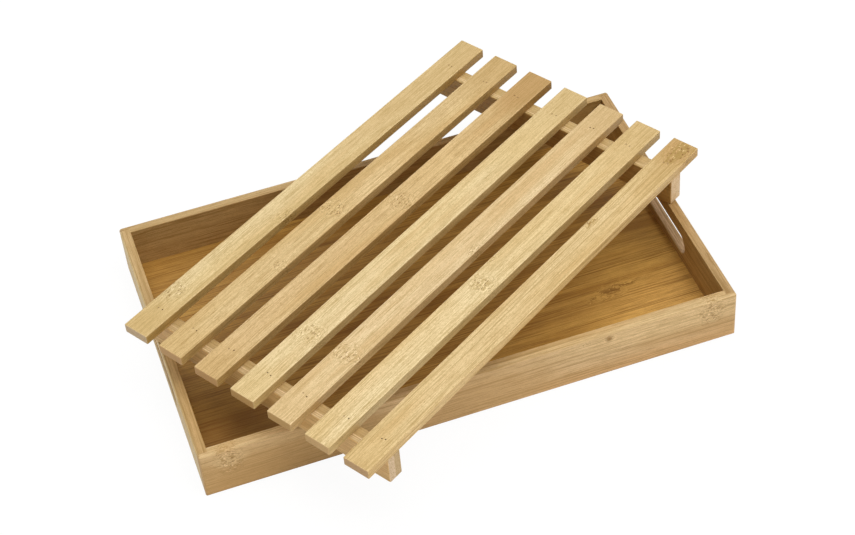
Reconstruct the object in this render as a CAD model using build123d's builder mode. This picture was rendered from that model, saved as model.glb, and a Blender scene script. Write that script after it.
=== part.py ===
from build123d import *
import os
from math import cos, radians, sin

# Bread board: a shallow crumb tray with a loose slatted grid lying turned across its rim.
# Millimetres, +Z up. The origin is the middle of the tray's underside, X runs along the tray.

# Tray
tray_length = 420.0
tray_width = 255.0
tray_height = 43.0
wall_thickness = 8.0
corner_lip = 3.5  # what is left of a long wall outside the end wall that is let into it
floor_thickness = 6.0
floor_seat = 4.0  # how far the floor panel reaches under the walls
floor_gap = 0.2  # glue gap round the floor panel's edges
outer_round = 2.0  # soft outer edge of the rim, and the tray's upright corners
foot_ease = 1.0
rim_ease = 0.6  # inner edge of the rim
joint_ease = 0.25  # fine edge that shows as a line where two walls meet

# Grip slots in the end walls, at half the walls' height
grip_length = 98.0
grip_height = 17.5
grip_round = 1.5

# Slatted grid; it also fits into the tray, where its rails stand on the floor panel
slat_count = 7
slat_width = 22.6
slat_thickness = 8.0
slat_ease = 0.6
rail_thickness = 13.0
rail_ease = 1.2
left_rail_inset = 20.2  # from the slats' left ends to the left rail's outer face
right_rail_inset = 23.6  # from the slats' right ends to the right rail's outer face
grid_end_play = 1.5  # from the slats' ends to the end walls, with the grid in the tray
grid_side_play = 0.95  # from the outer slats to the long walls, with the grid in the tray
grid_sink = 4.5  # from the rim down to the slats' tops, with the grid in the tray

# Headless pins, two at each crossing of a slat and a rail
pin_diameter = 1.1
pin_length = 22.0
pin_sink = 0.5  # how deep the pin's end lies under the slat's face
pin_clearance = 0.02
pin_tip_chamfer = 0.25

# Where the two pins of each crossing sit, for slats 1 to 7: along and across from its middle. They are
# driven by hand, so the places vary
left_pin_places = [
    [(0.7, -1.4), (0.2, 2.3)],
    [(0.1, -1.5), (0.6, 2.1)],
    [(2.0, -1.9), (0.9, 2.2)],
    [(0.4, -0.7), (-0.4, -4.5)],
    [(0.9, 1.2), (-0.2, -3.1)],
    [(1.7, -0.8), (2.0, -5.0)],
    [(1.8, 0.2), (2.7, -2.4)],
]
right_pin_places = [
    [(-2.1, -3.5), (-1.9, -0.2)],
    [(-1.5, -4.2), (-1.8, -1.2)],
    [(-2.0, -0.9), (-1.5, 2.8)],
    [(-2.4, -0.1), (-2.2, -4.0)],
    [(1.8, 1.0), (2.4, -2.0)],
    [(1.9, 1.9), (1.5, -1.8)],
    [(1.2, 1.4), (1.6, -2.2)],
]

# How the grid lies on the rim
grid_turn = 31.8
grid_shift_x = 1.9
grid_shift_y = -4.6

corner_rabbet = wall_thickness - corner_lip
inner_length = tray_length - 2 * wall_thickness
inner_width = tray_width - 2 * wall_thickness
end_wall_middle = (tray_length - wall_thickness) / 2
end_wall_span = inner_width + 2 * corner_rabbet

slat_length = inner_length - 2 * grid_end_play
rail_length = inner_width - 2 * grid_side_play
slat_pitch = (rail_length - slat_width) / (slat_count - 1)
rail_height = tray_height - floor_thickness - slat_thickness - grid_sink
left_rail_place = -slat_length / 2 + left_rail_inset + rail_thickness / 2
right_rail_place = slat_length / 2 - right_rail_inset - rail_thickness / 2

slat_base = tray_height + rail_height
slat_top = slat_base + slat_thickness
hole_radius = pin_diameter / 2 + pin_clearance
hole_depth = pin_sink + pin_length + pin_clearance - slat_thickness

os.makedirs("parts", exist_ok=True)


def finish(piece, label):
    """Label a finished piece and write its STEP file."""
    piece.part.label = label
    export_step(piece.part, f"parts/{label}.step")


def long_wall(label, side):
    """A full-length wall on side +1 or -1 of Y, rabbeted for the end walls and the floor."""
    middle = side * (tray_width - wall_thickness) / 2
    rabbet_middle = side * (inner_width + corner_rabbet) / 2
    seat_middle = side * (inner_width + floor_seat) / 2
    with BuildPart() as wall:
        with BuildSketch(Plane.XY):
            with Locations((0, middle)):
                Rectangle(tray_length, wall_thickness)
        extrude(amount=tray_height)
        outer_face = wall.faces().sort_by(Axis.Y)[-1 if side > 0 else 0]
        rim_face = wall.faces().sort_by(Axis.Z)[-1]
        uprights = outer_face.edges().filter_by(Axis.Z)
        rim_long = rim_face.edges().filter_by(Axis.X).sort_by(Axis.Y)[-1 if side > 0 else 0]
        rim_ends = rim_face.edges().filter_by(Axis.Y)
        fillet(uprights + [rim_long] + rim_ends, outer_round)
        foot = wall.faces().sort_by(Axis.Z)[0]
        fillet(foot.edges().filter_by(Axis.X).sort_by(Axis.Y)[-1 if side > 0 else 0], foot_ease)
        with BuildSketch(Plane.XY):
            with Locations((end_wall_middle, rabbet_middle), (-end_wall_middle, rabbet_middle)):
                Rectangle(wall_thickness, corner_rabbet)
        extrude(amount=tray_height, mode=Mode.SUBTRACT)
        with BuildSketch(Plane.XY):
            with Locations((0, seat_middle)):
                Rectangle(tray_length, floor_seat)
        extrude(amount=floor_thickness, mode=Mode.SUBTRACT)
        rim_face = wall.faces().sort_by(Axis.Z)[-1]
        fillet(rim_face.edges().filter_by(Axis.X).sort_by(Axis.Y)[0 if side > 0 else -1], rim_ease)
    finish(wall, label)


def end_wall(label, side):
    """A short wall on side +1 or -1 of X, let into the long walls, with a grip slot through it."""
    middle = side * end_wall_middle
    seat_middle = side * (inner_length + floor_seat) / 2
    tongue_middle = (inner_width + corner_rabbet) / 2
    outer = -1 if side > 0 else 0
    inner = 0 if side > 0 else -1
    with BuildPart() as wall:
        with BuildSketch(Plane.XY):
            with Locations((middle, 0)):
                Rectangle(wall_thickness, inner_width)
        extrude(amount=tray_height)
        rim_face = wall.faces().sort_by(Axis.Z)[-1]
        fillet(rim_face.edges().filter_by(Axis.Y).sort_by(Axis.X)[inner], rim_ease)
        with BuildSketch(Plane.XY):
            with Locations((middle, tongue_middle), (middle, -tongue_middle)):
                Rectangle(wall_thickness, corner_rabbet)
        extrude(amount=tray_height)
        rim_face = wall.faces().sort_by(Axis.Z)[-1]
        fillet(rim_face.edges().filter_by(Axis.Y).sort_by(Axis.X)[outer], outer_round)
        with BuildSketch(Plane.XY):
            with Locations((seat_middle, 0)):
                Rectangle(floor_seat, end_wall_span)
        extrude(amount=floor_thickness, mode=Mode.SUBTRACT)
        foot = wall.faces().sort_by(Axis.Z)[0]
        fillet(foot.edges().filter_by(Axis.Y).sort_by(Axis.X)[outer], foot_ease)
        rim_face = wall.faces().sort_by(Axis.Z)[-1]
        chamfer(rim_face.edges().filter_by(Axis.X).group_by(Axis.Y)[0], joint_ease)
        rim_face = wall.faces().sort_by(Axis.Z)[-1]
        chamfer(rim_face.edges().filter_by(Axis.X).group_by(Axis.Y)[-1], joint_ease)
        with BuildSketch(Plane.YZ.offset(side * tray_length / 2)):
            with Locations((0, tray_height / 2)):
                SlotOverall(grip_length, grip_height)
        extrude(amount=-side * wall_thickness, mode=Mode.SUBTRACT)
        faces = wall.faces().filter_by(Axis.X).sort_by(Axis.X)
        for mouth in (faces[0], faces[-1]):
            fillet(mouth.inner_wires()[0].edges(), grip_round)
    finish(wall, label)


def floor_panel():
    """The board that closes the tray from below, flush with the walls' feet."""
    with BuildPart() as panel:
        with BuildSketch(Plane.XY):
            Rectangle(
                inner_length + 2 * (floor_seat - floor_gap),
                inner_width + 2 * (floor_seat - floor_gap),
            )
        extrude(amount=floor_thickness)
    finish(panel, "floor_panel")


def grid_plane(along, across, height):
    """A level plane that is turned with the grid, at a place measured along and across its slats."""
    turn = radians(grid_turn)
    return Plane(
        origin=(
            grid_shift_x + along * cos(turn) - across * sin(turn),
            grid_shift_y + along * sin(turn) + across * cos(turn),
            height,
        ),
        x_dir=(cos(turn), sin(turn), 0),
        z_dir=(0, 0, 1),
    )


def slat_across(number):
    """Where a slat's middle line lies across the grid; slat 1 is at the back left."""
    return ((slat_count + 1) / 2 - number) * slat_pitch


def pin_spots(place, number):
    """The two pins of a slat's crossing with the rail whose middle line is at a place along it."""
    places = left_pin_places if place == left_rail_place else right_pin_places
    return [(place + along, slat_across(number) + across) for along, across in places[number - 1]]


def slat(number):
    """One slat with its eased edges and the pin holes over both rails."""
    with BuildPart() as bar:
        with BuildSketch(grid_plane(0, slat_across(number), slat_base)):
            Rectangle(slat_length, slat_width)
        extrude(amount=slat_thickness)
        fillet(bar.edges(), slat_ease)
        with BuildSketch(grid_plane(0, 0, slat_base)):
            for place in (left_rail_place, right_rail_place):
                with Locations(*pin_spots(place, number)):
                    Circle(hole_radius)
        extrude(amount=slat_thickness, mode=Mode.SUBTRACT)
    finish(bar, f"slat_{number}")


def rail(label, place):
    """A rail under all the slats, square to them, with a blind hole for each pin."""
    spots = [spot for number in range(1, slat_count + 1) for spot in pin_spots(place, number)]
    with BuildPart() as bar:
        with BuildSketch(grid_plane(place, 0, tray_height)):
            Rectangle(rail_thickness, rail_length)
        extrude(amount=rail_height)
        fillet(bar.edges(), rail_ease)
        with BuildSketch(grid_plane(0, 0, slat_base)):
            with Locations(*spots):
                Circle(hole_radius)
        extrude(amount=-hole_depth, mode=Mode.SUBTRACT)
    finish(bar, label)


def rail_pins(label, place):
    """All the pins of one rail, each a solid of its own, with their tips bevelled."""
    spots = [spot for number in range(1, slat_count + 1) for spot in pin_spots(place, number)]
    with BuildPart() as pins:
        with BuildSketch(grid_plane(0, 0, slat_top - pin_sink)):
            with Locations(*spots):
                Circle(pin_diameter / 2)
        extrude(amount=-pin_length)
        chamfer(pins.edges().group_by(Axis.Z)[0], pin_tip_chamfer)
    finish(pins, label)


long_wall("front_wall", -1)
long_wall("back_wall", 1)
end_wall("left_end_wall", -1)
end_wall("right_end_wall", 1)
floor_panel()

for slat_number in range(1, slat_count + 1):
    slat(slat_number)
rail("left_rail", left_rail_place)
rail("right_rail", right_rail_place)
rail_pins("left_rail_pins", left_rail_place)
rail_pins("right_rail_pins", right_rail_place)
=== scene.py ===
from math import cos, pi, radians, sin

import bmesh
import bpy
import numpy as np
from mathutils import Matrix, Vector


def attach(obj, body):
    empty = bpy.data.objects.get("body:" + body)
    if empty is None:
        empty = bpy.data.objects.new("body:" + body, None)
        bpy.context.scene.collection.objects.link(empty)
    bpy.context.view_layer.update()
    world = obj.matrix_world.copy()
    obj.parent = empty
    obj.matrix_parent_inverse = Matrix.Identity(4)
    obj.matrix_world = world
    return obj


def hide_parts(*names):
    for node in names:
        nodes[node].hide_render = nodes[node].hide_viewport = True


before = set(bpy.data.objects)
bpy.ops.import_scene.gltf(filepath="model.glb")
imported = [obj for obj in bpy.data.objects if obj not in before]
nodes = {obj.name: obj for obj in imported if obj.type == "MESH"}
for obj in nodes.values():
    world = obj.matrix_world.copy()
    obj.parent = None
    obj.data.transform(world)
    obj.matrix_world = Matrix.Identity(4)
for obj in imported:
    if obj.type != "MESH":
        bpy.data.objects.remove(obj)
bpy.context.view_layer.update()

# A bamboo bread board: a crumb tray, and a slatted grid lying turned across its rim. Metres, +Z up.
mm = 0.001


def paint(red, green, blue):
    # sRGB 0..255 to linear: c/12.92 below 0.04045, else ((c + 0.055)/1.055)^2.4
    shade = np.array([red, green, blue]) / 255
    linear = np.where(shade <= 0.04045, shade / 12.92, ((shade + 0.055) / 1.055) ** 2.4)
    return (*linear.tolist(), 1.0)


def feed(tree, socket, value):
    # A node's output is linked to the socket, and a plain value is set on it
    if isinstance(value, bpy.types.NodeSocket):
        tree.links.new(value, socket)
    else:
        socket.default_value = value


def add(tree, kind, feeds=None, **settings):
    # One node, with its settings and its inputs
    made = tree.nodes.new(kind)
    for key, value in settings.items():
        setattr(made, key, value)
    for key, value in (feeds or {}).items():
        feed(tree, made.inputs[key], value)
    return made


def calc(tree, operation, first, second=0.0, third=0.0):
    # A Math node's result
    return add(tree, "ShaderNodeMath", {0: first, 1: second, 2: third}, operation=operation).outputs[0]


def vector(tree, operation, first, second=(0.0, 0.0, 0.0)):
    # A Vector Math node's result
    return add(tree, "ShaderNodeVectorMath", {0: first, 1: second}, operation=operation).outputs[0]


def spread(tree, value, low, high, toLow=0.0, toHigh=1.0, smooth=True):
    # low..high becomes toLow..toHigh, held at the ends, and eased by 3u^2 - 2u^3 where smooth
    return add(tree, "ShaderNodeMapRange", {
        "Value": value, "From Min": low, "From Max": high, "To Min": toLow, "To Max": toHigh,
    }, interpolation_type="SMOOTHSTEP" if smooth else "LINEAR").outputs["Result"]


def blendColours(tree, factor, first, second, mode="MIX"):
    # first + factor x (second - first); the mode MULTIPLY puts first x second in the second's place
    made = add(tree, "ShaderNodeMix", {"Factor": factor}, data_type="RGBA", blend_type=mode)
    feed(tree, made.inputs[6], first)
    feed(tree, made.inputs[7], second)
    return made.outputs[2]


def newGroup(name, inputs, outputs):
    # A shader node group, from the kinds of its named inputs and outputs
    group = bpy.data.node_groups.new(name, "ShaderNodeTree")
    for way, sockets in (("INPUT", inputs), ("OUTPUT", outputs)):
        for label, kind in sockets.items():
            group.interface.new_socket(name=label, in_out=way, socket_type="NodeSocket" + kind)
    given = group.nodes.new("NodeGroupInput").outputs
    out = group.nodes.new("NodeGroupOutput").inputs
    return group, given, out


def place(tree, group, feeds):
    # A group placed in a material, with that material's own values
    return add(tree, "ShaderNodeGroup", feeds, node_tree=group).outputs


viewpoint = {
    "azimuth": -15.061,  # degrees round from the front, towards the left
    "elevation": 45.210,
    "roll": -5.546,
    "distance": 1.62361,
    "target": (0.01503, 0.03119, 0.0),
    "lens": 85.34,
    "sensor": 36.0,
    "clip": (0.05, 50.0),
}


def buildCamera():
    # It stands at target + away x distance and looks back along away
    azimuth, elevation, roll = (radians(viewpoint[key]) for key in ("azimuth", "elevation", "roll"))
    away = Vector((sin(azimuth) * cos(elevation), -cos(azimuth) * cos(elevation), sin(elevation)))
    right = (-away).cross(Vector((0, 0, 1))).normalized()
    up = right.cross(-away)
    # The roll turns right and up about the line of sight
    rolledRight = right * cos(roll) + up * sin(roll)
    rolledUp = up * cos(roll) - right * sin(roll)
    data = bpy.data.cameras.new("camera")
    data.lens = viewpoint["lens"]
    data.sensor_width = viewpoint["sensor"]
    data.sensor_fit = "HORIZONTAL"
    data.clip_start, data.clip_end = viewpoint["clip"]
    camera = bpy.data.objects.new("camera", data)
    turned = Matrix((rolledRight, rolledUp, away)).transposed().to_4x4()
    middle = Vector(viewpoint["target"]) + away * viewpoint["distance"]
    camera.matrix_world = Matrix.Translation(middle) @ turned
    bpy.context.scene.collection.objects.link(camera)
    bpy.context.scene.camera = camera


lighting = {
    "dome": 0.27,  # even light from all round
    "lamps": {  # degrees round from the front towards the right, degrees up, width in degrees, strength
        "overhead": (0.0, 88.0, 42.0, 1.32),
        "frontFill": (0.0, 9.0, 30.0, 0.44),
        "rightKey": (47.0, 55.0, 42.0, 1.16),
        "backFill": (180.0, 55.0, 42.0, 0.42),
    },
    "floorColour": (240, 238, 235),
    "floorShown": 0.92,  # how much of the floor is seen as plain white
    "floorWhite": 1.02,
    "floorSize": 6.0,
    "floorDrop": 0.0002,  # how far it lies under the object's foot
}
plainWhite = (1.0, 1.0, 1.0, 1.0)


def seenDirectly(tree):
    # 1 for camera, glossy and transmission rays
    path = tree.nodes.new("ShaderNodeLightPath").outputs
    first = calc(tree, "MAXIMUM", path["Is Camera Ray"], path["Is Glossy Ray"])
    return calc(tree, "MAXIMUM", first, path["Is Transmission Ray"])


def buildLight():
    # An even dome, seen directly as white, and wide lamps from a few sides
    world = bpy.data.worlds.new("studio")
    world.use_nodes = True
    tree = world.node_tree
    tree.nodes.clear()
    dome = add(tree, "ShaderNodeBackground", {"Color": plainWhite, "Strength": lighting["dome"]})
    white = add(tree, "ShaderNodeBackground", {"Color": plainWhite, "Strength": 1.0})
    mixed = add(tree, "ShaderNodeMixShader", {
        0: seenDirectly(tree), 1: dome.outputs[0], 2: white.outputs[0]})
    output = tree.nodes.new("ShaderNodeOutputWorld")
    tree.links.new(mixed.outputs[0], output.inputs["Surface"])
    bpy.context.scene.world = world
    for name, (azimuth, elevation, width, strength) in lighting["lamps"].items():
        data = bpy.data.lights.new(name, "SUN")
        data.energy = strength
        data.angle = radians(width)
        lamp = bpy.data.objects.new(name, data)
        turn, rise = radians(azimuth), radians(elevation)
        towards = Vector((sin(turn) * cos(rise), -cos(turn) * cos(rise), sin(rise)))
        lamp.rotation_euler = towards.to_track_quat("Z", "Y").to_euler()
        bpy.context.scene.collection.objects.link(lamp)


def buildFloor():
    # A level square that keeps the object's shadow, and is otherwise seen as white
    material = bpy.data.materials.new("studioFloor")
    material.use_nodes = True
    tree = material.node_tree
    tree.nodes.clear()
    matt = add(tree, "ShaderNodeBsdfDiffuse", {"Color": paint(*lighting["floorColour"])})
    white = add(tree, "ShaderNodeEmission", {"Color": plainWhite, "Strength": lighting["floorWhite"]})
    share = calc(tree, "MULTIPLY", seenDirectly(tree), lighting["floorShown"])
    mixed = add(tree, "ShaderNodeMixShader", {0: share, 1: matt.outputs[0], 2: white.outputs[0]})
    output = tree.nodes.new("ShaderNodeOutputMaterial")
    tree.links.new(mixed.outputs[0], output.inputs["Surface"])
    half, low = lighting["floorSize"] / 2, -lighting["floorDrop"]
    mesh = bpy.data.meshes.new("studioFloor")
    mesh.from_pydata([(-half, -half, low), (half, -half, low), (half, half, low), (-half, half, low)],
                     [], [(0, 1, 2, 3)])
    mesh.materials.append(material)
    floor = bpy.data.objects.new("studioFloor", mesh)
    bpy.context.scene.collection.objects.link(floor)


buildCamera()
buildLight()
buildFloor()
bpy.context.scene.view_settings.view_transform = "Standard"
print("camera, light and floor done")


wanderNoise = {  # waves to a metre along and across, and the noise's detail
    "slow": ((9.0, 30.0, 30.0), 1.0),
    "fast": ((240.0, 300.0, 300.0), 1.5),
}


def buildWanderGroup():
    # Fibres drift sideways by a slow noise, and where a node of the cane crosses them they swirl by a fast
    # one and part round its middle: p - Part x Away + slow x Wander + fast x Swirl x Node
    group, given, out = newGroup("fibreWander", {
        "Vector": "Vector", "Seed": "Vector", "Wander": "Float", "Node": "Float", "Swirl": "Float",
        "Away": "Vector", "Part": "Float",
    }, {"Vector": "Vector"})
    shifted = vector(group, "ADD", given["Vector"], given["Seed"])

    def sway(speed):
        # Noise from -0.5 to 0.5
        waves, detail = wanderNoise[speed]
        noise = add(group, "ShaderNodeTexNoise", {
            "Vector": vector(group, "MULTIPLY", shifted, waves), "Scale": 1.0, "Detail": detail})
        return calc(group, "SUBTRACT", noise.outputs["Fac"], 0.5)

    side = calc(group, "MULTIPLY", sway("slow"), given["Wander"])
    swirl = calc(group, "MULTIPLY", calc(group, "MULTIPLY", sway("fast"), given["Swirl"]), given["Node"])
    total = calc(group, "ADD", side, swirl)
    push = add(group, "ShaderNodeCombineXYZ", {"Y": total, "Z": total}).outputs[0]
    part = add(group, "ShaderNodeCombineXYZ", {"Y": given["Part"], "Z": given["Part"]}).outputs[0]
    parted = vector(group, "SUBTRACT", given["Vector"], vector(group, "MULTIPLY", given["Away"], part))
    feed(group, out["Vector"], vector(group, "ADD", parted, push))
    return group


fibreLayers = {  # waves to a metre across and along, detail, roughness, and the noise that counts as 0 and 1
    "Lines": (3000.0, 42.0, 2.5, 0.65, 0.50, 0.66),  # crisp and fine
    "Streaks": (1050.0, 34.0, 2.5, 0.60, 0.50, 0.68),
    "Long": (700.0, 6.0, 1.0, 0.50, 0.54, 0.66),  # a few lines that run far
    "Bands": (140.0, 6.0, 1.0, 0.50, 0.36, 0.64),  # broad strips
    "Flecks": (2300.0, 480.0, 2.0, 0.75, 0.48, 0.70),
    "Mottle": (240.0, 130.0, 2.5, 0.65, 0.34, 0.66),  # broader strokes
    "Tone": (50.0, 7.0, 1.0, 0.50, 0.38, 0.62),  # a slow drift
}
bundleCells = {  # thin cells about 1.2 mm apart and 22 mm long, dark at the middles of some of them
    "across": 820.0,
    "along": 45.0,
    "dot": (0.40, 0.14),  # the distance from a cell's middle that counts as 0 and as 1
    "chance": (0.35, 0.90),  # the cell's own random value that counts as 0 and as 1
}


def buildFibreGroup():
    # Noise stretched along x, each layer spread to 0..1
    group, given, out = newGroup("bambooFibre", {
        "Vector": "Vector", "Seed": "Vector", "Length": "Float",
    }, dict.fromkeys((*fibreLayers, "Bundles"), "Float"))
    shifted = vector(group, "ADD", given["Vector"], given["Seed"])
    parts = add(group, "ShaderNodeSeparateXYZ", {0: shifted}).outputs

    def stretched(across, along):
        # (x along Length, y across, z across)
        x = calc(group, "MULTIPLY", calc(group, "MULTIPLY", parts[0], along), given["Length"])
        y = calc(group, "MULTIPLY", parts[1], across)
        z = calc(group, "MULTIPLY", parts[2], across)
        return add(group, "ShaderNodeCombineXYZ", {0: x, 1: y, 2: z}).outputs[0]

    for label, (across, along, detail, roughness, low, high) in fibreLayers.items():
        noise = add(group, "ShaderNodeTexNoise", {
            "Vector": stretched(across, along), "Scale": 1.0, "Detail": detail, "Roughness": roughness,
        }).outputs["Fac"]
        feed(group, out[label], spread(group, noise, low, high))
    cells = add(group, "ShaderNodeTexVoronoi", {
        "Vector": stretched(bundleCells["across"], bundleCells["along"]), "Scale": 1.0,
    }, feature="F1").outputs
    dot = spread(group, cells["Distance"], *bundleCells["dot"])
    chance = add(group, "ShaderNodeSeparateColor", {0: cells["Color"]}).outputs[0]
    feed(group, out["Bundles"], calc(group, "MULTIPLY", dot, spread(group, chance, *bundleCells["chance"])))
    return group


patchNoise = {"scale": 190.0, "detail": 2.0}  # it makes a patch's edge ragged


def buildPatchGroup():
    # A soft-edged patch: 1 where |(p - centre)/reach| is below 1 - softness, and 0 above 1 + softness. Away
    # is the way from its middle, times the patch
    group, given, out = newGroup("softPatch", {
        "Vector": "Vector", "Seed": "Vector", "Centre": "Vector", "Reach": "Vector", "Softness": "Float",
        "Ragged": "Float",
    }, {"Mask": "Float", "Away": "Vector"})
    offset = vector(group, "SUBTRACT", given["Vector"], given["Centre"])
    scaled = vector(group, "DIVIDE", offset, given["Reach"])
    distance = add(group, "ShaderNodeVectorMath", {0: scaled}, operation="LENGTH").outputs["Value"]
    shifted = vector(group, "ADD", given["Vector"], given["Seed"])
    rough = add(group, "ShaderNodeTexNoise", {
        "Vector": shifted, "Scale": patchNoise["scale"], "Detail": patchNoise["detail"]}).outputs["Fac"]
    torn = calc(group, "MULTIPLY_ADD", calc(group, "SUBTRACT", rough, 0.5), given["Ragged"], distance)
    low = calc(group, "SUBTRACT", 1.0, given["Softness"])
    high = calc(group, "ADD", 1.0, given["Softness"])
    mask = spread(group, torn, low, high, 1.0, 0.0)
    feed(group, out["Mask"], mask)
    away = add(group, "ShaderNodeVectorMath", {0: offset, "Scale": mask}, operation="SCALE").outputs[0]
    feed(group, out["Away"], away)
    return group


dashCells = {  # short dashes where a node crosses, in cells of about 3.2 by 0.9 mm
    "waves": (310.0, 1120.0, 1120.0),
    "dot": (0.48, 0.20),  # the distance from a cell's middle that counts as 0 and as 1
    "dark": (0.35, 0.65),  # the cell's own random value that counts as 0 and as 1 for a dark middle
    "pale": (0.34, 0.10),  # and for a pale one
}


def buildSpeckGroup():
    # Dots at the middles of the cells, times the mask: Specks are the dark ones and Gleams the pale ones
    group, given, out = newGroup("nodeSpecks", {
        "Vector": "Vector", "Seed": "Vector", "Mask": "Float",
    }, {"Specks": "Float", "Gleams": "Float"})
    shifted = vector(group, "ADD", given["Vector"], given["Seed"])
    cells = add(group, "ShaderNodeTexVoronoi", {
        "Vector": vector(group, "MULTIPLY", shifted, dashCells["waves"]), "Scale": 1.0,
    }, feature="F1").outputs
    chance = add(group, "ShaderNodeSeparateColor", {0: cells["Color"]}).outputs[1]
    masked = calc(group, "MULTIPLY", spread(group, cells["Distance"], *dashCells["dot"]), given["Mask"])
    for label, kept in (("Specks", "dark"), ("Gleams", "pale")):
        feed(group, out[label], calc(group, "MULTIPLY", masked, spread(group, chance, *dashCells[kept])))
    return group


arrisNoise = {
    "scale": 420.0,
    "detail": 3.0,
    "patchy": (0.25, 0.75),  # the noise that counts as 0 and as 1
    "near": (1.0, 0.35),  # the distance from the edge, in widths, that counts as 0 and as 1
}


def buildArrisGroup():
    # How near the point is to an edge of its box: the middle one of its three distances to the faces
    group, given, out = newGroup("arris", {
        "Vector": "Vector", "Half Size": "Vector", "Width": "Float", "Seed": "Vector", "Wear": "Float",
    }, {"Mask": "Float"})
    size = vector(group, "ABSOLUTE", given["Vector"])
    d = add(group, "ShaderNodeSeparateXYZ", {0: vector(group, "SUBTRACT", given["Half Size"], size)}).outputs
    least = calc(group, "MINIMUM", d[0], d[1])
    most = calc(group, "MAXIMUM", d[0], d[1])
    middle = calc(group, "MAXIMUM", least, calc(group, "MINIMUM", most, d[2]))
    shifted = vector(group, "ADD", given["Vector"], given["Seed"])
    rough = add(group, "ShaderNodeTexNoise", {
        "Vector": shifted, "Scale": arrisNoise["scale"], "Detail": arrisNoise["detail"]}).outputs["Fac"]
    patchy = spread(group, rough, *arrisNoise["patchy"], calc(group, "SUBTRACT", 1.0, given["Wear"]), 1.0)
    near = spread(group, calc(group, "DIVIDE", middle, given["Width"]), *arrisNoise["near"])
    feed(group, out["Mask"], calc(group, "MULTIPLY", near, patchy))
    return group


facingRange = (0.45, 0.8)  # the cosine that counts as 0 and as 1


def buildFacingGroup():
    # 1 where the surface looks along an axis: Mask counts one way only, Both counts both ways
    group, given, out = newGroup("facing", {
        "Normal": "Vector", "Axis": "Vector",
    }, {"Mask": "Float", "Both": "Float"})
    dot = add(group, "ShaderNodeVectorMath", {
        0: given["Normal"], 1: given["Axis"]}, operation="DOT_PRODUCT").outputs["Value"]
    feed(group, out["Mask"], spread(group, dot, *facingRange))
    feed(group, out["Both"], spread(group, calc(group, "ABSOLUTE", dot), *facingRange))
    return group


effects = {
    "wander": buildWanderGroup(),
    "fibre": buildFibreGroup(),
    "patch": buildPatchGroup(),
    "specks": buildSpeckGroup(),
    "arris": buildArrisGroup(),
    "facing": buildFacingGroup(),
}
print("shared effects done")

bambooDefaults = {
    "body": (222, 192, 139),  # the tone between the lines; the next ones are shares of its red, green, blue
    "warm": (0.82, 0.71, 0.58),  # broad bands
    "tone": (1.06, 1.10, 1.22),  # the slow drift
    "line": (0.52, 0.44, 0.26),  # fibre lines
    "speck": (0.36, 0.27, 0.15),  # the dark dashes of a node
    "gleam": (1.16, 1.22, 1.36),  # the pale ones
    "endTint": (196, 158, 112),
    "arrisWearAndHighlight": (1.16, 1.22, 1.35),  # the worn edges, lighter as sanded wood and as a painted highlight where the rounded edge catches the light
    "arrisWidth": 0.0009,
    "arrisWear": 0.7,
    "bandShare": 0.60,
    "toneShare": 0.60,
    "mottleShare": 0.11,
    "streakShare": 0.38,
    "lineShare": 0.80,
    "longShare": 0.27,
    "fleckShare": 0.70,
    "bundleShare": 0.20,
    "nodeLines": 0.25,  # how much stronger the lines are in a node
    "nodeShare": 0.95,
    "gleamShare": 0.85,
    "arrisShare": 0.20,
    "endShare": 0.75,
    "wander": 0.0012,
    "swirl": 0.0009,
    "part": 0.35,
    "fibreLength": 1.0,
    "nodes": (),  # middle and half sizes in mm of each node of the cane
    "nodeSoftness": 0.45,
    "nodeRagged": 1.1,
    "patches": (),  # middle and half sizes in mm, softness, colour, and the way it faces or None
    "patchRagged": 0.25,
    "faceTints": (),  # painted light and shade: the way it faces, and how much lighter or darker that side is in red, green and blue
    "nails": (),  # x and y in mm of the pins' mouths
    "nailTint": (120, 88, 52),
    "nailShare": 0.15,
    "nailReach": (0.9, 0.65, 100),
    "nailSoftness": 0.3,
    "nailRagged": 0.3,
    "specular": 0.25,
    "ior": 1.45,
    "rough": (0.0, 1.6, 0.45, 0.65),  # lines and end grain added up, and the roughness they bring
    "surface": 0.5,  # the height that the next ones are cut into
    "relief": {"Lines": 0.5, "Bundles": 0.5, "Flecks": 0.25},
    "speckRelief": 0.7,
    "bump": 0.35,
    "bumpDepth": 0.00012,
}


def tinted(body, shares):
    # The body's linear colour times a share of each of its parts
    return (*(min(part * share, 1.0) for part, share in zip(paint(*body), shares)), 1.0)


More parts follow.
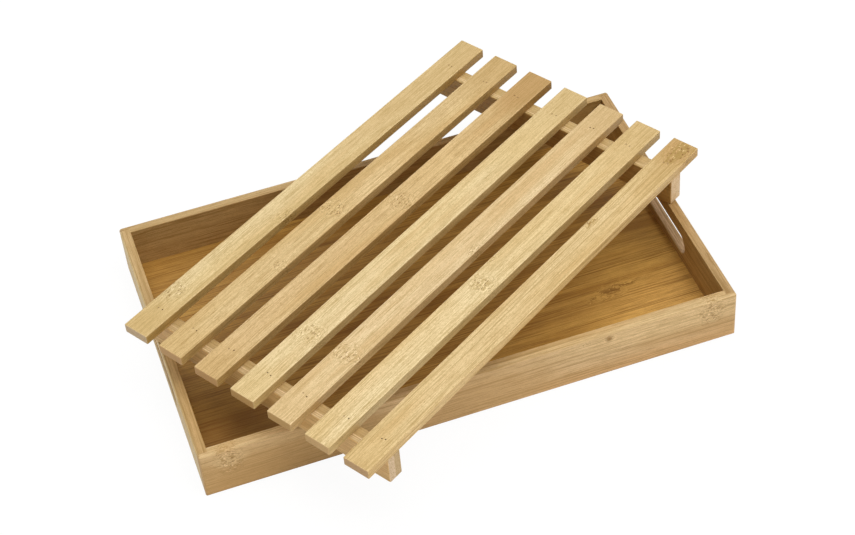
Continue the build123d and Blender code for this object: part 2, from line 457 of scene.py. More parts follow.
def bambooMaterial(name, centre, turn, halfSize, **own):
    # One piece's bamboo: its own coordinates have x along the fibres and the origin at its middle
    values = {**bambooDefaults, **own}
    body, seed = values["body"], values["seed"]
    material = bpy.data.materials.new(name)
    material.use_nodes = True
    tree = material.node_tree
    tree.nodes.clear()
    coordinate = tree.nodes.new("ShaderNodeTexCoord").outputs
    local = add(tree, "ShaderNodeMapping", {
        "Vector": coordinate["Object"], "Location": centre, "Rotation": (0, 0, turn),
    }, vector_type="TEXTURE").outputs[0]

    def patch(middle, reach, softness, ragged):
        # Middle and reach are in mm from the piece's middle
        return place(tree, effects["patch"], {
            "Vector": local, "Seed": seed, "Centre": [value * mm for value in middle],
            "Reach": [value * mm for value in reach], "Softness": softness, "Ragged": ragged})

    def facing(axis):
        # The axis is one of the whole object's directions
        return place(tree, effects["facing"], {"Normal": coordinate["Normal"], "Axis": axis})

    def lay(under, mask, share, tint):
        # A tint over the colour so far, as strong as the mask times a share
        return blendColours(tree, calc(tree, "MULTIPLY", mask, values[share]), under, tint)

    nodeMask, away = 0.0, (0.0, 0.0, 0.0)
    for middle, reach in values["nodes"]:
        found = patch(middle, reach, values["nodeSoftness"], values["nodeRagged"])
        nodeMask = calc(tree, "MAXIMUM", nodeMask, found["Mask"])
        away = vector(tree, "ADD", away, found["Away"])
    bent = place(tree, effects["wander"], {
        "Vector": local, "Seed": seed, "Wander": values["wander"], "Node": nodeMask,
        "Swirl": values["swirl"], "Away": away, "Part": values["part"],
    })["Vector"]
    fibre = place(tree, effects["fibre"], {"Vector": bent, "Seed": seed, "Length": values["fibreLength"]})
    end = facing((cos(turn), sin(turn), 0.0))["Both"]
    arris = place(tree, effects["arris"], {
        "Vector": local, "Half Size": halfSize, "Seed": seed, "Width": values["arrisWidth"],
        "Wear": values["arrisWear"]})["Mask"]

    # Height = surface - the sum of each layer times its relief
    height = values["surface"]
    for layer, depth in values["relief"].items():
        height = calc(tree, "MULTIPLY_ADD", fibre[layer], -depth, height)
    colour = lay(paint(*body), fibre["Bands"], "bandShare", tinted(body, values["warm"]))
    colour = lay(colour, fibre["Tone"], "toneShare", tinted(body, values["tone"]))
    for middle, reach, softness, tint, axis in values["patches"]:
        mask = patch(middle, reach, softness, values["patchRagged"])["Mask"]
        if axis:
            mask = calc(tree, "MULTIPLY", mask, facing(axis)["Mask"])
        colour = blendColours(tree, mask, colour, paint(*tint))
    lineColour = tinted(body, values["line"])
    stronger = calc(tree, "MULTIPLY_ADD", nodeMask, values["nodeLines"], 1.0)
    for layer, share in (("Mottle", "mottleShare"), ("Streaks", "streakShare"), ("Lines", "lineShare"),
                         ("Long", "longShare"), ("Flecks", "fleckShare"), ("Bundles", "bundleShare")):
        colour = lay(colour, calc(tree, "MULTIPLY", fibre[layer], stronger), share, lineColour)
    if values["nodes"]:
        dashes = place(tree, effects["specks"], {"Vector": bent, "Seed": seed, "Mask": nodeMask})
        colour = lay(colour, dashes["Gleams"], "gleamShare", tinted(body, values["gleam"]))
        colour = lay(colour, dashes["Specks"], "nodeShare", tinted(body, values["speck"]))
        height = calc(tree, "MULTIPLY_ADD", dashes["Specks"], -values["speckRelief"], height)
    endColour = blendColours(tree, fibre["Bundles"], paint(*values["endTint"]), lineColour)
    colour = lay(colour, end, "endShare", endColour)
    # painted light and shade: each side lighter or darker by the way it faces
    for axis, tint in values["faceTints"]:
        colour = blendColours(tree, facing(axis)["Mask"], colour, (*tint, 1.0), "MULTIPLY")
    # worn edges, with a painted highlight along them
    colour = lay(colour, arris, "arrisShare", tinted(body, values["arrisWearAndHighlight"]))
    for x, y in values["nails"]:
        mouth = patch((x, y, 0), values["nailReach"], values["nailSoftness"], values["nailRagged"])["Mask"]
        colour = lay(colour, mouth, "nailShare", paint(*values["nailTint"]))

    roughness = spread(tree, calc(tree, "ADD", fibre["Lines"], end), *values["rough"], smooth=False)
    bump = add(tree, "ShaderNodeBump", {
        "Height": height, "Strength": values["bump"], "Distance": values["bumpDepth"]}).outputs[0]
    shader = add(tree, "ShaderNodeBsdfPrincipled", {
        "Base Color": colour, "Roughness": roughness, "Normal": bump, "IOR": values["ior"],
        "Specular IOR Level": values["specular"]})
    output = tree.nodes.new("ShaderNodeOutputMaterial")
    tree.links.new(shader.outputs[0], output.inputs["Surface"])
    return material


meshing = {
    "support": 0.0006,  # a loop this far beside a rounded edge keeps the face next to it flat
    "barSteps": 6,
    "barStations": 60,
    "barClear": 0.0036,  # from a bar's rounded end to its evenly spaced stations
    "wallSteps": 7,
    "longStations": 60,
    "endStations": 50,
    "slotSides": 24,
    "slotSteps": 8,
    "drillSides": 16,
    "past": 0.001,  # how far a cutter goes past the wood
    "weld": 2e-7,
    "crease": 35.0,  # degrees
}


def quarterAngles(steps):
    # From 0 to a quarter turn, evenly
    return np.linspace(0, pi / 2, steps + 1)


def arcDepths(radius, steps):
    # Depths of evenly turned points of a rounded edge: radius x (1 - cos a), from 0 to the radius
    return radius * (1 - np.cos(quarterAngles(steps)))


def setBack(radius, depth):
    # How far a rounded edge stands back at a depth: radius - sqrt(radius^2 - (radius - depth)^2)
    return radius - np.sqrt(radius ** 2 - (radius - depth) ** 2)


def meshFromRings(name, rings):
    # Grid point (i, j) joins (i+1, j), (i+1, j+1) and (i, j+1); j wraps round, and the two ends are capped
    stations, around = rings.shape[:2]
    i, j = np.meshgrid(np.arange(stations - 1), np.arange(around), indexing="ij")
    after = (j + 1) % around
    corners = [i * around + j, (i + 1) * around + j, (i + 1) * around + after, i * around + after]
    quads = np.stack(corners, -1).reshape(-1, 4)
    first = np.arange(around)[::-1]
    last = np.arange(around) + (stations - 1) * around
    mesh = bpy.data.meshes.new(name)
    faces = quads.tolist() + [first.tolist(), last.tolist()]
    mesh.from_pydata(rings.reshape(-1, 3).tolist(), [], faces)
    # Points that coincide become one, flat faces with no area go, and faces turn outwards
    work = bmesh.new()
    work.from_mesh(mesh)
    bmesh.ops.remove_doubles(work, verts=work.verts, dist=meshing["weld"])
    bmesh.ops.dissolve_degenerate(work, edges=work.edges, dist=meshing["weld"])
    bmesh.ops.recalc_face_normals(work, faces=work.faces)
    work.to_mesh(mesh)
    work.free()
    return mesh


def finishPiece(name, mesh, body, material):
    # The piece takes the place of the CAD node with its name
    mesh.materials.clear()
    mesh.materials.append(material)
    mesh.shade_smooth()
    mesh.set_sharp_from_angle(angle=radians(meshing["crease"]))
    piece = bpy.data.objects.new(name + "_wood", mesh)
    bpy.context.scene.collection.objects.link(piece)
    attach(piece, body)
    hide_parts(name)


def cutOut(mesh, cutter):
    # The cutter's shape is taken out of the mesh, and the cutter goes
    holder = bpy.data.objects.new("holder", mesh)
    tool = bpy.data.objects.new("tool", cutter)
    for thing in (holder, tool):
        bpy.context.scene.collection.objects.link(thing)
    modifier = holder.modifiers.new("cut", "BOOLEAN")
    modifier.operation = "DIFFERENCE"
    modifier.solver = "EXACT"
    modifier.object = tool
    graph = bpy.context.evaluated_depsgraph_get()
    result = bpy.data.meshes.new_from_object(holder.evaluated_get(graph))
    for thing in (holder, tool):
        bpy.data.objects.remove(thing)
    bpy.data.meshes.remove(cutter)
    return result


handwork = {  # the arrises are softened by hand, so their radius drifts by about a tenth
    "waves": 5,
    "lengths": (0.03, 0.16),
    "gain": 1.6,
    "share": 0.08,
}


def slowNoise(places, seed):
    # The mean of a few sine waves with fixed random lengths and phases, times the gain: about -1..1
    dice = np.random.default_rng(seed)
    lengths = dice.uniform(*handwork["lengths"], handwork["waves"])
    phases = dice.uniform(0, 2 * pi, handwork["waves"])
    return np.sin(places[:, None] * 2 * pi / lengths + phases).mean(1) * handwork["gain"]


def barRings(length, width, height, ease, seed):
    # A rounded rectangle carried along x: corner arcs of radius ease, set back all round near the ends
    support, share = meshing["support"], handwork["share"]
    rise = np.append(arcDepths(ease, meshing["barSteps"]), ease + support)
    reach = length / 2 - ease - meshing["barClear"]
    middle = np.linspace(-reach, reach, meshing["barStations"])
    places = np.concatenate([-length / 2 + rise, middle, length / 2 - rise[::-1]])
    fromEnd = np.clip(length / 2 - np.abs(places), 0, ease)
    inset = setBack(ease, fromEnd)
    corner = ease * (1 - share + share * slowNoise(places, seed))
    corner = np.where(fromEnd < ease, ease, corner)
    across, up = [], []
    for number, (signAcross, signUp) in enumerate(((1, 1), (-1, 1), (-1, -1), (1, -1))):
        angles = quarterAngles(meshing["barSteps"]) + number * pi / 2
        centreAcross = signAcross * (width / 2 - corner)
        centreUp = signUp * (height / 2 - corner)
        radius = corner - inset
        arcAcross = centreAcross[:, None] + radius[:, None] * np.cos(angles)
        arcUp = centreUp[:, None] + radius[:, None] * np.sin(angles)
        before = np.array([sin(angles[0]), -cos(angles[0])]) * support
        behind = np.array([-sin(angles[-1]), cos(angles[-1])]) * support
        across.append(np.column_stack([
            arcAcross[:, 0] + before[0], arcAcross, arcAcross[:, -1] + behind[0]]))
        up.append(np.column_stack([arcUp[:, 0] + before[1], arcUp, arcUp[:, -1] + behind[1]]))
    across, up = np.concatenate(across, 1), np.concatenate(up, 1)
    return np.stack([np.broadcast_to(places[:, None], across.shape), across, up], -1)


def drillRings(x, y, low, high, radius):
    # A round tube between two heights: x + r cos a, y + r sin a
    sides = meshing["drillSides"]
    angles = np.arange(sides) * 2 * pi / sides
    circle = np.stack([x + radius * np.cos(angles), y + radius * np.sin(angles)], -1)
    return np.stack([np.column_stack([circle, np.full(sides, z)]) for z in (low, high)])


def joinMeshes(name, parts):
    # All the parts in one mesh
    work = bmesh.new()
    for part in parts:
        work.from_mesh(part)
        bpy.data.meshes.remove(part)
    mesh = bpy.data.meshes.new(name)
    work.to_mesh(mesh)
    work.free()
    return mesh


grid = {
    "turn": radians(31.8),
    "shift": (0.0019, -0.0046),
    "slatLength": 0.401,
    "slatWidth": 0.0226,
    "slatThickness": 0.008,
    "slatEase": 0.0006,
    "slatPitch": 0.03575,
    "middleSlat": 4,
    "slatBase": 0.0675,
    "railThickness": 0.013,
    "railLength": 0.2371,
    "railHeight": 0.0245,
    "railEase": 0.0012,
    "railBase": 0.043,
    "railPlaces": {"left_rail": -0.1738, "right_rail": 0.1704},
    "holeRadius": 0.00057,
    "holeFoot": 0.05298,
    "driftSeed": 20,  # the first rail's; a slat's is its number
}
pinPlaces = {  # mm along and across from the middle of each crossing, slats 1 to 7: driven in by hand
    "left_rail": (
        ((0.7, -1.4), (0.2, 2.3)), ((0.1, -1.5), (0.6, 2.1)), ((2.0, -1.9), (0.9, 2.2)),
        ((0.4, -0.7), (-0.4, -4.5)), ((0.9, 1.2), (-0.2, -3.1)), ((1.7, -0.8), (2.0, -5.0)),
        ((1.8, 0.2), (2.7, -2.4)),
    ),
    "right_rail": (
        ((-2.1, -3.5), (-1.9, -0.2)), ((-1.5, -4.2), (-1.8, -1.2)), ((-2.0, -0.9), (-1.5, 2.8)),
        ((-2.4, -0.1), (-2.2, -4.0)), ((1.8, 1.0), (2.4, -2.0)), ((1.9, 1.9), (1.5, -1.8)),
        ((1.2, 1.4), (1.6, -2.2)),
    ),
}
alongGrid = (cos(grid["turn"]), sin(grid["turn"]), 0.0)
acrossGrid = (-sin(grid["turn"]), cos(grid["turn"]), 0.0)
upward, toFront, toLeft = (0.0, 0.0, 1.0), (0.0, -1.0, 0.0), (-1.0, 0.0, 0.0)


def against(axis):
    # The opposite way
    return tuple(-value for value in axis)


def onGrid(along, across):
    # Turned with the grid: x = shift + along cos - across sin, y = shift + along sin + across cos
    c, s = cos(grid["turn"]), sin(grid["turn"])
    return grid["shift"][0] + along * c - across * s, grid["shift"][1] + along * s + across * c


def putOnGrid(rings, along, across, height, quarterTurn=False):
    # Local x runs along the slats, or along the rails after a quarter turn
    local = rings.copy()
    if quarterTurn:
        local = np.stack([-rings[..., 1], rings[..., 0], rings[..., 2]], -1)
    x, y = onGrid(local[..., 0] + along, local[..., 1] + across)
    return np.stack([x, y, local[..., 2] + height], -1)


def slatAcross(number):
    # A slat's middle line across the grid; slat 1 is at the back left
    return (grid["middleSlat"] - number) * grid["slatPitch"]


def pinSpots(rail, number):
    # The two pins where a slat crosses a rail, along and across the grid
    middle = grid["railPlaces"][rail]
    return [(middle + along * mm, slatAcross(number) + across * mm)
            for along, across in pinPlaces[rail][number - 1]]


def pinHoles(spots, low, high):
    # One cutter for all the holes at (along, across) spots
    tubes = []
    for along, across in spots:
        x, y = onGrid(along, across)
        tubes.append(meshFromRings("drill", drillRings(x, y, low, high, grid["holeRadius"])))
    return joinMeshes("drills", tubes)


slatEndShade = (  # painted shade: the slats' ends are a little darker, as the light falls off towards them; patches with shares of the body's red, green and blue
    ((192, 0, 0), (40, 20, 60), 0.8, (0.925, 0.90, 0.86)),
    ((-196, 0, 0), (26, 20, 60), 0.8, (0.97, 0.955, 0.93)),
)
slatSideShade = {  # painted shade on the narrow sides, as shares of the top's red, green and blue: the neighbouring slats shade them, slat 7's open side least
    1: (0.77, 0.68, 0.49), 2: (0.81, 0.75, 0.62), 3: (0.75, 0.68, 0.52), 4: (0.8, 0.73, 0.59),
    5: (0.83, 0.76, 0.63), 6: (0.83, 0.8, 0.7), 7: (0.99, 0.94, 0.87),
}
slatSeed = (1.37, 0.61, 0.23)  # times the slat's number
slatLooks = {
    1: {"body": (230, 206, 154), "endTint": (198, 174, 145),
        "nodes": (((-153, 5, 0), (9, 8, 60)), ((-45, -8, 0), (9, 5, 60))),
        "patches": (((-60, -9.0, 4), (170, 2.6, 4), 0.45, (213, 185, 131), upward),
                    ((178, -6, 0), (45, 9, 60), 0.7, (207, 176, 122), None),
                    ((125, 2, 0), (80, 14, 60), 0.8, (216, 187, 135), None),
                    ((-190, 0, 0), (26, 16, 60), 0.8, (212, 182, 126), None))},
    2: {"body": (222, 193, 139), "endTint": (192, 148, 97),
        "nodes": (((-17, 2, 0), (8, 12, 60)), ((-88, -7, 0), (5, 5, 60))),
        "patches": (((24, -6, 0), (32, 8, 60), 0.7, (234, 205, 154), None),)},
    3: {"body": (221, 190, 137), "endTint": (189, 143, 89), "longShare": 0.35,
        "nodes": (((20, -2, 0), (8, 12, 60)),),
        "patches": (((184, 0, 0), (34, 16, 60), 0.5, (193, 155, 102), None),
                    ((75, 0, 0), (32, 13, 60), 0.8, (226, 195, 141), None))},
    4: {"body": (234, 210, 159), "endTint": (172, 126, 66), "nodeShare": 0.8,
        "longShare": 0.18, "streakShare": 0.28,
        "nodes": (((-127, -1, 0), (9, 12, 60)),),
        "patches": (((128, 0, 0), (34, 14, 60), 0.8, (227, 200, 146), None),)},
    5: {"body": (233, 206, 158), "endTint": (184, 143, 82),
        "nodes": (((-126, 1, 0), (9, 12, 60)), ((10, -9, 0), (6, 4, 60)))},
    6: {"body": (234, 208, 155), "endTint": (202, 162, 108), "nodeShare": 0.8,
        "nodes": (((-14, -1, 0), (8, 12, 60)), ((10, 10, 0), (5, 3, 60))),
        "patches": (((50, 7, 0), (55, 5, 60), 0.7, (225, 197, 144), None),
                    ((-150, -6, 0), (50, 7, 60), 0.7, (241, 219, 171), None),
                    ((-20, -1, 0), (22, 11, 60), 0.7, (241, 219, 171), None))},
    7: {"body": (230, 202, 148), "endTint": (191, 153, 113), "nodeShare": 1.0, "gleamShare": 0.9,
        "nodeLines": 1.6, "longShare": 0.55, "speck": (0.26, 0.14, 0.06), "gleam": (1.02, 0.98, 0.92),
        "nodes": (((188, -2, 0), (13, 10, 60)), ((85, 8, 0), (6, 2.5, 60))),
        "patches": (((190, 0, 0), (18, 14, 60), 0.6, (203, 164, 110), None),)},
}


def buildSlats():
    # Each is a rounded bar along the grid, drilled where it crosses the rails
    size = (grid["slatLength"], grid["slatWidth"], grid["slatThickness"])
    half = tuple(side / 2 for side in size)
    middleHeight = grid["slatBase"] + half[2]
    low, high = grid["slatBase"] - meshing["past"], grid["slatBase"] + size[2] + meshing["past"]
    for number, look in slatLooks.items():
        name = f"slat_{number}"
        across = slatAcross(number)
        rings = barRings(*size, grid["slatEase"], number)
        mesh = meshFromRings(name, putOnGrid(rings, 0.0, across, middleHeight))
        spots = pinSpots("left_rail", number) + pinSpots("right_rail", number)
        mesh = cutOut(mesh, pinHoles(spots, low, high))
        # painted shade at both ends of each slat
        endShade = [(middle, reach, softness, [part * share for part, share in zip(look["body"], shares)], None)
                 for middle, reach, softness, shares in slatEndShade]
        material = bambooMaterial(
            name + "_bamboo", (*onGrid(0, across), middleHeight), grid["turn"], half,
            seed=[part * number for part in slatSeed],
            # painted shade on both narrow sides
            faceTints=((acrossGrid, slatSideShade[number]), (against(acrossGrid), slatSideShade[number])),
            nails=[(x / mm, (y - across) / mm) for x, y in spots],
            **{**look, "patches": (*endShade, *look.get("patches", ()))})
        finishPiece(name, mesh, "grid", material)


# Pale stripes along the rails' tops
railStripes = tuple(((0, y, 12.3), (200, 0.45, 3), 0.5, (229, 199, 154), upward) for y in (5.3, 3.8, 2.2))
railLooks = {
    "left_rail": {
        "seed": (11.3, 0.0, 0.7),
        "patches": (
            ((0, -6.5, 12.3), (900, 6.3, 4), 0.05, (190, 159, 108), upward),
            ((-118.5, -6.5, 0), (4, 6.4, 60), 0.05, (201, 173, 131), against(acrossGrid)),
            ((-118.5, 6.5, 0), (4, 6.4, 60), 0.05, (225, 198, 164), against(acrossGrid)),
            *railStripes,
        ),
        # painted light on the outer side
        "faceTints": ((against(alongGrid), (1.33, 1.24, 1.11)),),
    },
    "right_rail": {
        "seed": (12.3, 4.1, 0.7),
        "patches": railStripes[1:],
        # painted shade on the inner side, painted light on the front end and on the top
        "faceTints": ((against(alongGrid), (0.90, 0.78, 0.53)), (against(acrossGrid), (1.38, 1.45, 1.92)),
                      (upward, (1.11, 1.13, 1.11))),
    },
}
railLook = {
    "body": (199, 170, 119),
    "streakShare": 0.5,
    "lineShare": 0.5,
    "fleckShare": 0.35,
    "endShare": 0.0,
}


def buildRails():
    # Each is a rounded bar across the grid, with a blind hole for each pin
    size = (grid["railLength"], grid["railThickness"], grid["railHeight"])
    half = tuple(side / 2 for side in size)
    middleHeight = grid["railBase"] + half[2]
    high = grid["railBase"] + size[2] + meshing["past"]
    for seed, (name, along) in enumerate(grid["railPlaces"].items(), grid["driftSeed"]):
        rings = barRings(*size, grid["railEase"], seed)
        mesh = meshFromRings(name, putOnGrid(rings, along, 0.0, middleHeight, quarterTurn=True))
        spots = [spot for slat in slatLooks for spot in pinSpots(name, slat)]
        mesh = cutOut(mesh, pinHoles(spots, grid["holeFoot"], high))
        material = bambooMaterial(
            name + "_bamboo", (*onGrid(along, 0), middleHeight), grid["turn"] + pi / 2, half,
            **railLook, **railLooks[name])
        finishPiece(name, mesh, "grid", material)


tray = {
    "length": 0.420,
    "width": 0.255,
    "height": 0.043,
    "thickness": 0.008,
    "lip": 0.0035,
    "floorThickness": 0.006,
    "floorSeat": 0.004,
    "floorGap": 0.0002,
    "outerRound": 0.002,
    "footEase": 0.001,
    "rimEase": 0.0006,
    "jointEase": 0.00025,
    "slotLength": 0.098,
    "slotHeight": 0.0175,
    "slotRound": 0.0015,
}


def wallProfile(inset, rimEase):
    # Depth from the outer face and height, one row of points for each station. The outer rim arc has
    # radius outerRound - inset about a fixed middle; the foot and the inner rim are quarter circles
    quarter = quarterAngles(meshing["wallSteps"])
    one = np.ones((len(inset), 1))
    inset, rimEase = inset[:, None], rimEase[:, None]
    r, t, h, support = tray["outerRound"], tray["thickness"], tray["height"], meshing["support"]
    foot, seat = tray["footEase"], tray["thickness"] - tray["floorSeat"]
    runs = [
        (foot * (1 - np.sin(quarter)) * one, foot * (1 - np.cos(quarter)) * one),
        (inset, foot + support * one),
        (inset, (h - r - support) * one),
        (r - (r - inset) * np.cos(quarter), h - r + (r - inset) * np.sin(quarter)),
        ((r + support) * one, h - inset),
        ((t - tray["rimEase"] - support) * one, h - inset),
        (t - rimEase + rimEase * np.sin(quarter), h - inset - rimEase + rimEase * np.cos(quarter)),
        (t * one, (h - tray["rimEase"] - support) * one - inset),
        (t * one, (tray["floorThickness"] + support) * one),
        (t * one, tray["floorThickness"] * one),
        (seat * one, tray["floorThickness"] * one),
        (seat * one, 0 * one),
        ((foot + support) * one, 0 * one),
    ]
    depth = np.concatenate([np.maximum(run[0] * one, inset) for run in runs], 1)
    height = np.concatenate([run[1] * one for run in runs], 1)
    return depth, height


def longWallRings(side):
    # The profile carried along x; within 8 mm of the ends only the lip is left, and the last 2 mm are round
    half, inner, r = tray["length"] / 2, tray["length"] / 2 - tray["thickness"], tray["outerRound"]
    reach = np.append(half - arcDepths(r, meshing["wallSteps"]), [half - r - meshing["support"], inner])
    body = np.linspace(-inner, inner, meshing["longStations"])
    places = np.concatenate([-reach, body, reach[::-1]])
    isLip = np.concatenate([np.ones(len(reach)), np.zeros(len(body)), np.ones(len(reach))])[:, None]
    fromEnd = np.clip(half - np.abs(places), 0, r)
    depth, height = wallProfile(setBack(r, fromEnd), np.full(len(places), tray["rimEase"]))
    # On the lip the inner rim is not eased, because the end wall's tongue stands against it
    depth = np.where((isLip > 0) & (depth > tray["lip"]), tray["lip"], depth)
    x = np.broadcast_to(places[:, None], depth.shape)
    y = side * (tray["width"] / 2 - depth)
    return np.stack([x, y, height], -1)


def endWallRings(side):
    # The profile carried along y; the tongues beyond the hollow have a square inner rim
    hollow = tray["width"] / 2 - tray["thickness"]
    span = tray["width"] / 2 - tray["lip"]
    tongue = np.array([span, span - tray["jointEase"], hollow])
    body = np.linspace(-hollow, hollow, meshing["endStations"])
    places = np.concatenate([-tongue, body, tongue[::-1]])
    square = np.zeros(len(tongue))
    ease = np.concatenate([square, np.full(len(body), tray["rimEase"]), square])
    depth, height = wallProfile(np.zeros(len(places)), ease)
    top = tray["height"] - np.clip(np.abs(places) - (span - tray["jointEase"]), 0, 1)
    height = np.minimum(height, top[:, None])
    x = side * (tray["length"] / 2 - depth)
    y = np.broadcast_to(places[:, None], depth.shape)
    return np.stack([x, y, height], -1)


def slotRings(side):
    # A stadium, widened near either face of the wall as its rounded edge stands back
    r, t, past = tray["slotRound"], tray["thickness"], meshing["past"]
    s = arcDepths(r, meshing["slotSteps"])
    depths = np.concatenate([[-past], s, t - s[::-1], [t + past]])
    grow = setBack(r, np.clip(np.minimum(depths, t - depths), 0, r))
    bow = np.linspace(-pi / 2, pi / 2, meshing["slotSides"] + 1)
    angles = np.concatenate([bow, bow + pi])
    ends = np.where(np.arange(len(angles)) < len(bow), 1, -1)
    radius = tray["slotHeight"] / 2 + grow[:, None]
    y = ends * (tray["slotLength"] - tray["slotHeight"]) / 2 + radius * np.cos(angles)
    z = tray["height"] / 2 + radius * np.sin(angles)
    x = np.broadcast_to(side * (tray["length"] / 2 - depths[:, None]), y.shape)
    return np.stack([x, y, z], -1)


# painted light: the slot's lower face is lighter, as though lit from outside
slotFloorLight = ((0, 0, -9), (60, 12, 5), 0.2, (213, 179, 127), upward)
glueLines = tuple(((end * 124, 0, 0), (0.45, 20, 60), 0.3, (140, 102, 60), upward) for end in (1, -1))
wallLooks = {
    "front_wall": {
        "seed": (21.7, 2.9, 0.0), "body": (218, 186, 137), "swirl": 0.003, "longShare": 0.55,
        "nodeShare": 0.75,
        "nodes": (((-188, 0, 10), (9, 20, 13)), ((190, 0, 10), (9, 20, 12)), ((106, 0, 16), (4, 8, 3)),
                  ((88, 0, 17), (3, 8, 2))),
        "patches": (
            ((0, 0, -24), (900, 60, 15), 0.7, (213, 170, 117), None),
            ((-160, -4, -14), (95, 4, 26), 0.9, (191, 152, 97), toFront),
            ((-188, -4, 11), (11, 3, 7), 0.7, (222, 190, 140), toFront),
            ((160, -4, 14), (80, 3, 11), 0.8, (232, 200, 148), toFront),
            ((4, -4, -5), (46, 4, 32), 0.9, (203, 166, 115), toFront),
            ((106, -4, 15.5), (2.4, 3, 2.2), 0.7, (158, 121, 74), toFront),
        ),
        # painted shade: the rim a little darker
        "faceTints": ((upward, (0.96, 0.97, 0.94)),),
    },
    "back_wall": {
        "seed": (22.7, 2.9, 1.3), "body": (187, 153, 95),
        "patches": (((-150, 0, 0), (70, 60, 60), 0.6, (201, 166, 110), toFront),),
        # painted light: the rim lighter and paler than the inner face
        "faceTints": ((upward, (1.13, 1.20, 1.50)),),
    },
    "left_end_wall": {
        "seed": (31.9, 3.7, 0.0),
        "patches": (slotFloorLight, *glueLines),
        # painted light: the rim a little paler, the outer face much lighter and paler
        "faceTints": ((upward, (1.03, 1.04, 1.25)), (toLeft, (1.39, 1.52, 1.73))),
    },
    "right_end_wall": {
        "seed": (32.9, 3.7, 2.3), "body": (196, 161, 100), "longShare": 0.65, "streakShare": 0.55,
        "patches": (slotFloorLight, *glueLines),
        # painted shade: the rim a little darker
        "faceTints": ((upward, (0.92, 0.92, 1.12)),),
    },
}
wallLook = {
    "body": (199, 167, 107),
    "streakShare": 0.42,
    "longShare": 0.40,
    "fleckShare": 0.40,
    # the edges lighter: worn wood, and a painted highlight on the rounded rim
    "arrisShare": 0.28,
}


def finishWall(name, mesh, centre, turn, half):
    # A wall's own look lies over the one that the walls share
    look = {**wallLook, **wallLooks[name]}
    material = bambooMaterial(name + "_bamboo", centre, turn, half, **look)
    finishPiece(name, mesh, "tray", material)


def buildWalls():
    # The long walls run the full length; the end walls stand between their lips, each with a slot
    length, width, thickness = tray["length"], tray["width"], tray["thickness"]
    middleHeight = tray["height"] / 2
    for name, side in (("front_wall", -1), ("back_wall", 1)):
        mesh = meshFromRings(name, longWallRings(side))
        finishWall(name, mesh, (0.0, side * (width - thickness) / 2, middleHeight), 0.0,
                   (length / 2, thickness / 2, middleHeight))
    for name, side in (("left_end_wall", -1), ("right_end_wall", 1)):
        mesh = cutOut(meshFromRings(name, endWallRings(side)), meshFromRings("slot", slotRings(side)))
        finishWall(name, mesh, (side * (length - thickness) / 2, 0.0, middleHeight), pi / 2,
                   (width / 2 - tray["lip"], thickness / 2, middleHeight))


floorLook = {
    "seed": (47.1, 5.3, 0.9),
    "body": (194, 148, 69),
    "warm": (0.66, 0.56, 0.42),
    "tone": (1.10, 1.16, 1.30),
    "line": (0.36, 0.27, 0.20),
    "speck": (0.30, 0.22, 0.16),
    "nodes": (((137, -56, 0), (10, 7, 60)), ((150, -50, 0), (8, 4, 60)), ((124, -59, 0), (8, 4, 60))),
    # painted shade at the front left and back left, and a painted pool of light at the front right
    "patches": (((-190, -110, 0), (60, 45, 60), 0.8, (154, 113, 57), None),
                ((178, -88, 0), (62, 34, 60), 0.8, (214, 166, 86), None),
                ((-160, 98, 0), (60, 30, 60), 0.8, (176, 133, 65), None)),
    "streakShare": 0.55,
    "lineShare": 0.62,
    "longShare": 0.50,
    "fleckShare": 0.25,
    "bandShare": 0.8,
    "nodeLines": 0.35,
    "nodeShare": 0.55,
    "arrisShare": 0.0,
    "part": 0.45,
    "fibreLength": 0.7,
}


def dressFloor():
    # The CAD panel stays, under its own bamboo
    under = tray["floorSeat"] - tray["floorGap"] - tray["thickness"]
    half = (tray["length"] / 2 + under, tray["width"] / 2 + under, tray["floorThickness"] / 2)
    material = bambooMaterial("floor_panel_bamboo", (0.0, 0.0, half[2]), 0.0, half, **floorLook)
    for item in nodes["floor_panel"].material_slots:
        item.material = material


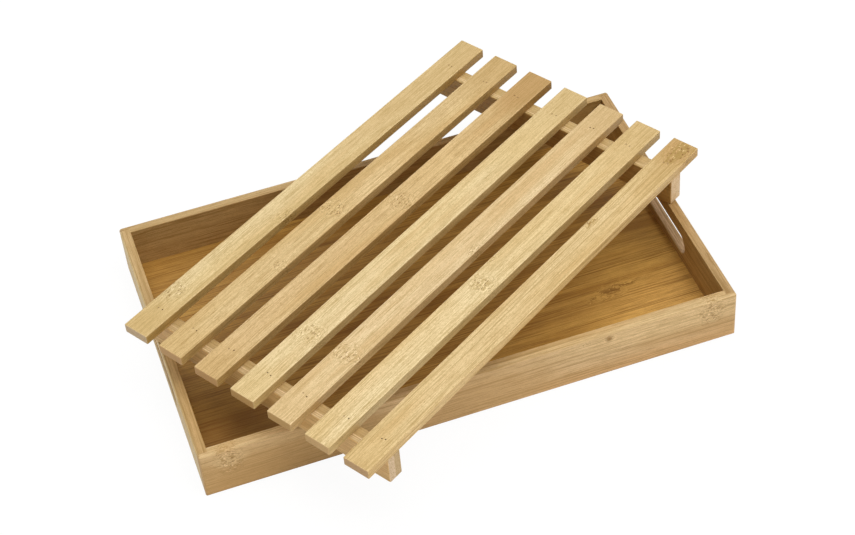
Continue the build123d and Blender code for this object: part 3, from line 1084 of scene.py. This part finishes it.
pinLook = {
    "steel": (205, 178, 135),  # dulled, and dusted with bamboo
    "dark": (80, 60, 42),  # some are bare and rusty
    "darkPins": (("left_rail", 1, 0), ("left_rail", 2, 0), ("left_rail", 3, 0), ("left_rail", 4, 0),
                 ("left_rail", 4, 1), ("left_rail", 5, 1), ("left_rail", 6, 1), ("left_rail", 7, 0),
                 ("left_rail", 7, 1), ("right_rail", 5, 1), ("right_rail", 5, 0)),
    "darkReach": 0.0009,
    "darkSoftness": 0.1,
    "scale": 2600.0,
    "detail": 3.0,
    "stain": (0.4, 0.65, 0.0, 0.35),  # the noise's range, and the share of the dark that it brings
    "rough": (0.3, 0.7, 0.45, 0.7),  # the noise's range, and the roughness that it brings
    "metallic": 0.4,
    "bump": 0.3,
    "bumpDepth": 0.00005,
}


def dressPins():
    # Dull wire, stained in patches
    material = bpy.data.materials.new("pin_steel")
    material.use_nodes = True
    tree = material.node_tree
    tree.nodes.clear()
    coordinate = tree.nodes.new("ShaderNodeTexCoord").outputs
    noise = add(tree, "ShaderNodeTexNoise", {
        "Vector": coordinate["Object"], "Scale": pinLook["scale"], "Detail": pinLook["detail"],
    }).outputs["Fac"]
    stain = spread(tree, noise, *pinLook["stain"])
    reach = pinLook["darkReach"]
    for rail, number, which in pinLook["darkPins"]:
        x, y = onGrid(*pinSpots(rail, number)[which])
        found = place(tree, effects["patch"], {
            "Vector": coordinate["Object"], "Centre": (x, y, 0.0), "Reach": (reach, reach, 1.0),
            "Softness": pinLook["darkSoftness"], "Ragged": 0.0})["Mask"]
        stain = calc(tree, "MAXIMUM", stain, found)
    colour = blendColours(tree, stain, paint(*pinLook["steel"]), paint(*pinLook["dark"]))
    roughness = spread(tree, noise, *pinLook["rough"])
    bump = add(tree, "ShaderNodeBump", {
        "Height": noise, "Strength": pinLook["bump"], "Distance": pinLook["bumpDepth"]}).outputs[0]
    shader = add(tree, "ShaderNodeBsdfPrincipled", {
        "Base Color": colour, "Roughness": roughness, "Normal": bump, "Metallic": pinLook["metallic"]})
    output = tree.nodes.new("ShaderNodeOutputMaterial")
    tree.links.new(shader.outputs[0], output.inputs["Surface"])
    for name in ("left_rail_pins", "right_rail_pins"):
        for item in nodes[name].material_slots:
            item.material = material


buildSlats()
print("slats done")
buildRails()
print("rails done")
buildWalls()
print("walls done")
dressFloor()
dressPins()
print("floor panel and pins dressed")
